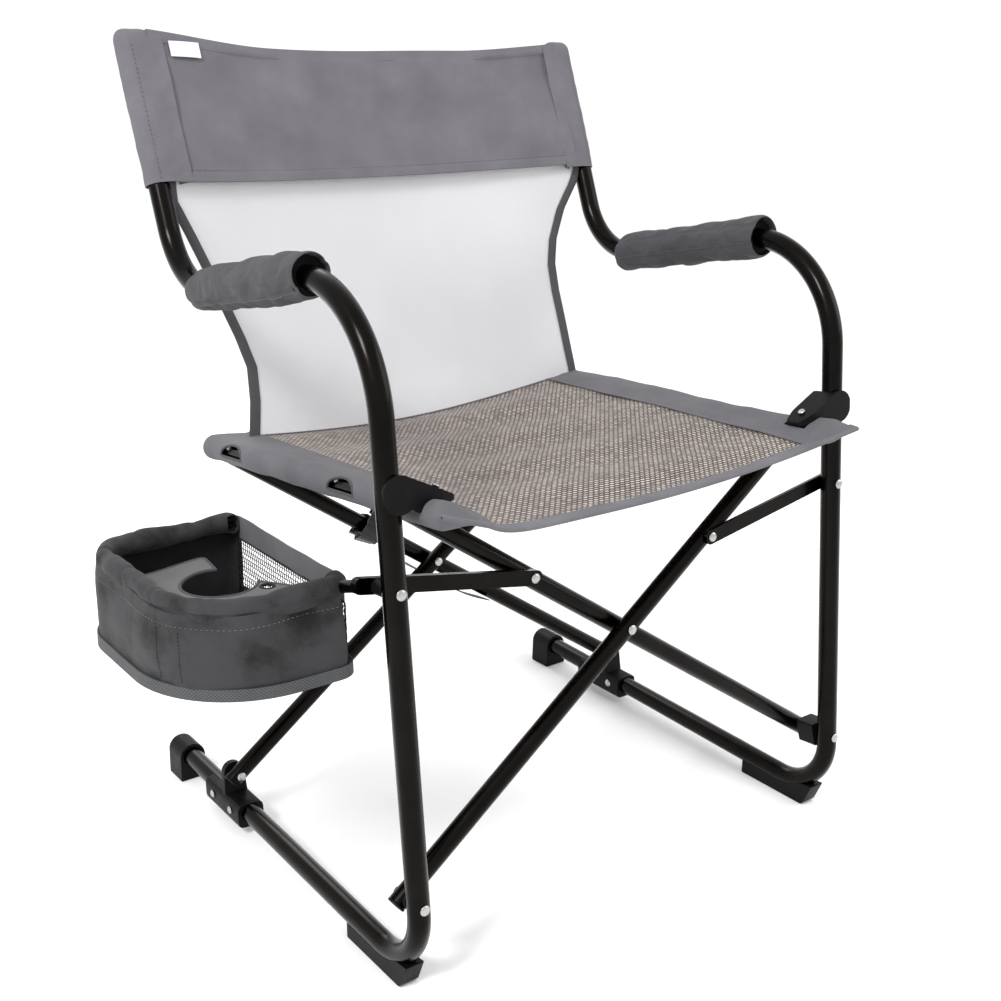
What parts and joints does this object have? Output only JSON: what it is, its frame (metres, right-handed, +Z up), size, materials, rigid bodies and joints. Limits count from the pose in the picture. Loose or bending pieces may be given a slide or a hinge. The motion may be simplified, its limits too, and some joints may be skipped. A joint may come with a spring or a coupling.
{
  "type": "folding camp chair",
  "caption": "Folding side-arm camp chair: bent tube sides on crossed tubes, woven sling seat, cloth and mesh back, padded arms, and a cloth basket with a cup shelf on one side.",
  "frame": {"origin": "on the floor, under the middle of the whole chair with its basket", "axes": "+Z up, the seat opens towards -Y, +X to the side without the basket"},
  "size_m": [0.7456, 0.5516, 0.8468],
  "materials": {
    "bronze_steel": "semi-gloss dark bronze paint",
    "zinc": "bright zinc",
    "black_plastic": "fine matt",
    "foam": "closed-cell foam",
    "grey_cloth": "coated polyester",
    "seat_weave": "woven sling cloth",
    "white_mesh": "open mesh",
    "webbing": "woven webbing"
  },
  "bodies": {
    "side_left": {"side_frame_left": "bronze_steel", "rear_foot_left": "black_plastic", "front_foot_left": "black_plastic", "arm_foam_left": "foam", "arm_cover_left": "grey_cloth", "rear_bracket_left": "black_plastic", "bracket_screw_left_1": "zinc", "bracket_screw_left_2": "zinc", "front_foot_rivet_left": "zinc", "rear_foot_rivet_left": "zinc", "front_foot_washer_left": "black_plastic", "link_spacer_left": "black_plastic", "link_leg_rivet_left": "zinc", "back_sleeve_left": "grey_cloth"},
    "scissor_a": {"front_cross_tube_left": "bronze_steel", "rear_cross_tube_left": "bronze_steel", "front_tube_plug_left": "black_plastic", "rear_tube_plug_left": "black_plastic", "front_centre_rivet": "zinc", "rear_centre_rivet": "zinc", "seat_rail_right": "bronze_steel", "seat_clip_right": "black_plastic", "clip_screw_right": "zinc", "seat_sleeve_right": "grey_cloth", "seat_cloth_right": "seat_weave"},
    "scissor_b": {"front_cross_tube_right": "bronze_steel", "rear_cross_tube_right": "bronze_steel", "front_tube_plug_right": "black_plastic", "rear_tube_plug_right": "black_plastic", "seat_rail_left": "bronze_steel", "seat_clip_left": "black_plastic", "clip_screw_left": "zinc", "seat_sleeve_left": "grey_cloth", "seat_cloth_left": "seat_weave", "strap_band": "webbing", "strap_loop": "webbing"},
    "side_right": {"side_frame_right": "bronze_steel", "rear_foot_right": "black_plastic", "front_foot_right": "black_plastic", "arm_foam_right": "foam", "arm_cover_right": "grey_cloth", "rear_bracket_right": "black_plastic", "bracket_screw_right_1": "zinc", "bracket_screw_right_2": "zinc", "front_foot_rivet_right": "zinc", "rear_foot_rivet_right": "zinc", "front_foot_spacer_right": "black_plastic", "link_leg_rivet_right": "zinc", "back_sleeve_right": "grey_cloth"},
    "link_left": {"link_left": "bronze_steel", "link_tube_rivet_left": "zinc", "basket_bag": "grey_cloth", "basket_cup_shelf": "grey_cloth"},
    "link_right": {"link_right": "bronze_steel", "link_tube_rivet_right": "zinc"},
    "back_left": {"back_band_left": "grey_cloth", "back_mesh_left": "white_mesh"},
    "back_right": {"back_band_right": "grey_cloth", "back_mesh_right": "white_mesh"}
  },
  "joints": [
    {"name": "fold", "type": "hinge", "parent": "side_left", "child": "scissor_a", "pos_m": [-0.20675, -0.26215, 0.0973], "axis": [0, -0.9958, 0.0918], "range_deg": [0, 41.6], "deforming": ["seat_cloth_right"]},
    {"name": "scissor", "type": "hinge", "parent": "scissor_a", "child": "scissor_b", "pos_m": [0.07225, -0.24443, 0.28948], "axis": [0, -0.9958, 0.0918], "range_deg": [-87.37, 0], "deforming": ["seat_cloth_left"]},
    {"name": "right_side", "type": "hinge", "parent": "scissor_b", "child": "side_right", "pos_m": [0.35125, -0.26215, 0.0973], "axis": [0, -0.9958, 0.0918], "range_deg": [0, 41.61]},
    {"name": "link_left_swing", "type": "hinge", "parent": "side_left", "child": "link_left", "pos_m": [-0.20675, -0.23472, 0.39484], "axis": [0, -0.9958, 0.0918], "range_deg": [0, 80.26]},
    {"name": "link_right_swing", "type": "hinge", "parent": "side_right", "child": "link_right", "pos_m": [0.35125, -0.23472, 0.39484], "axis": [0, -0.9958, 0.0918], "range_deg": [-80.26, 0]},
    {"name": "back_left_fold", "type": "hinge", "parent": "side_left", "child": "back_left", "pos_m": [-0.20675, 0.1641, 0.5959], "axis": [0, 0.3617, 0.9323], "range_deg": [0, 69], "deforming": ["back_band_left", "back_mesh_left"]},
    {"name": "back_right_fold", "type": "hinge", "parent": "back_left", "child": "back_right", "pos_m": [0.07225, 0.21146, 0.68479], "axis": [0, 0.3265, 0.9452], "range_deg": [-136.87, 0], "deforming": ["back_band_right", "back_mesh_right"]}
  ],
  "couplings": [
    {"joint": "scissor", "follows": "fold", "ratio": -2.1},
    {"joint": "right_side", "follows": "fold", "ratio": 1},
    {"joint": "link_left_swing", "follows": "fold", "ratio": 1.929},
    {"joint": "link_right_swing", "follows": "fold", "ratio": -1.929},
    {"joint": "back_left_fold", "follows": "fold", "ratio": 1.6584},
    {"joint": "back_right_fold", "follows": "fold", "ratio": -3.29}
  ]
}
